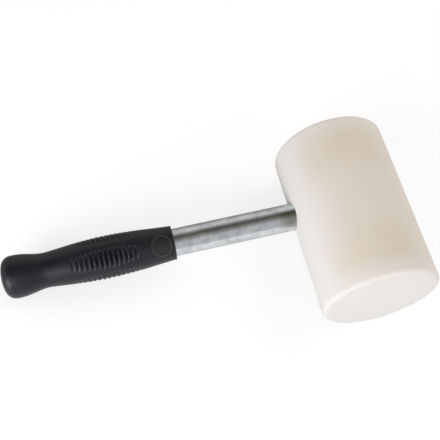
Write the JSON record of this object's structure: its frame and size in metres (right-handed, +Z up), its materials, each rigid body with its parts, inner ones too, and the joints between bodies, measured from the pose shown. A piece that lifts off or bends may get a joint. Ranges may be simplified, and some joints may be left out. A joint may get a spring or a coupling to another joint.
{
  "type": "soft face hammer",
  "caption": "Soft face hammer with a solid ivory nylon head, a bare plated steel tube handle and a ribbed black rubber grip.",
  "frame": {"origin": "on the surface that the hammer lies on, below the middle of its bounding box", "axes": "+X from the butt of the grip to the head, +Y along the head towards the striking face nearer the handle, +Z up from the surface"},
  "size_m": [0.3244, 0.141, 0.092],
  "materials": {
    "head_nylon": "satin, turned from cast rod",
    "tube_steel": "bright zinc plated",
    "washer_steel": "zinc plated",
    "plug_plastic": "moulded",
    "grip_rubber": "moulded, satin"
  },
  "bodies": {
    "root": {"head": "head_nylon", "handle_tube": "tube_steel", "crown_washer": "washer_steel", "crown_plug": "plug_plastic", "grip": "grip_rubber", "butt_plug": "plug_plastic"}
  },
  "joints": []
}
